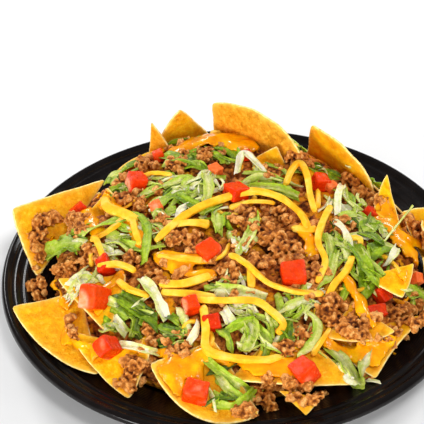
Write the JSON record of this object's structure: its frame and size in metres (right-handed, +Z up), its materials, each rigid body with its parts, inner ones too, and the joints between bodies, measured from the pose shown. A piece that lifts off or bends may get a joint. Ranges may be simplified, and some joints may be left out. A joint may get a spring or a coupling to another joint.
{
  "type": "plate of loaded nachos",
  "caption": "Round black plate heaped with curved corn chips, seasoned beef, melted cheese, lettuce and cheese shreds and diced tomato",
  "frame": {"origin": "centre of the plate's foot, on the surface the plate stands on", "axes": "+Z up along the plate's axis, +Y towards the tall side of the heap, +X to the right seen from the low side"},
  "size_m": [0.26, 0.2592, 0.0824],
  "materials": {
    "plate_black": "glossy black thermoformed plastic",
    "corn_chip": "fried corn chip, dry and lightly blistered",
    "tomato_flesh": "wet cut tomato",
    "beef_brown": "browned, moist minced beef",
    "lettuce_green": "crisp shredded lettuce, pale ribs",
    "cheese_shred": "soft shredded cheese",
    "cheese_sauce": "smooth melted cheese, glossy"
  },
  "bodies": {
    "root": {"plate": "plate_black", "chip_1": "corn_chip", "chip_2": "corn_chip", "chip_3": "corn_chip", "chip_4": "corn_chip", "chip_5": "corn_chip", "chip_6": "corn_chip", "chip_7": "corn_chip", "chip_8": "corn_chip", "chip_9": "corn_chip", "chip_10": "corn_chip", "chip_11": "corn_chip", "chip_12": "corn_chip", "chip_13": "corn_chip", "chip_14": "corn_chip", "chip_15": "corn_chip", "chip_16": "corn_chip", "chip_17": "corn_chip", "chip_18": "corn_chip", "chip_19": "corn_chip", "chip_20": "corn_chip", "chip_21": "corn_chip", "chip_22": "corn_chip", "chip_23": "corn_chip", "chip_24": "corn_chip", "chip_25": "corn_chip", "chip_26": "corn_chip", "tomato_1": "tomato_flesh", "tomato_2": "tomato_flesh", "tomato_3": "tomato_flesh", "tomato_4": "tomato_flesh", "tomato_5": "tomato_flesh", "tomato_6": "tomato_flesh", "tomato_7": "tomato_flesh", "tomato_8": "tomato_flesh", "tomato_9": "tomato_flesh", "tomato_10": "tomato_flesh", "tomato_11": "tomato_flesh", "tomato_12": "tomato_flesh", "tomato_13": "tomato_flesh", "tomato_14": "tomato_flesh", "tomato_15": "tomato_flesh", "tomato_16": "tomato_flesh", "tomato_17": "tomato_flesh", "tomato_18": "tomato_flesh", "tomato_19": "tomato_flesh", "tomato_20": "tomato_flesh", "tomato_21": "tomato_flesh", "tomato_22": "tomato_flesh", "tomato_23": "tomato_flesh", "tomato_24": "tomato_flesh", "heap": "beef_brown"}
  },
  "joints": []
}
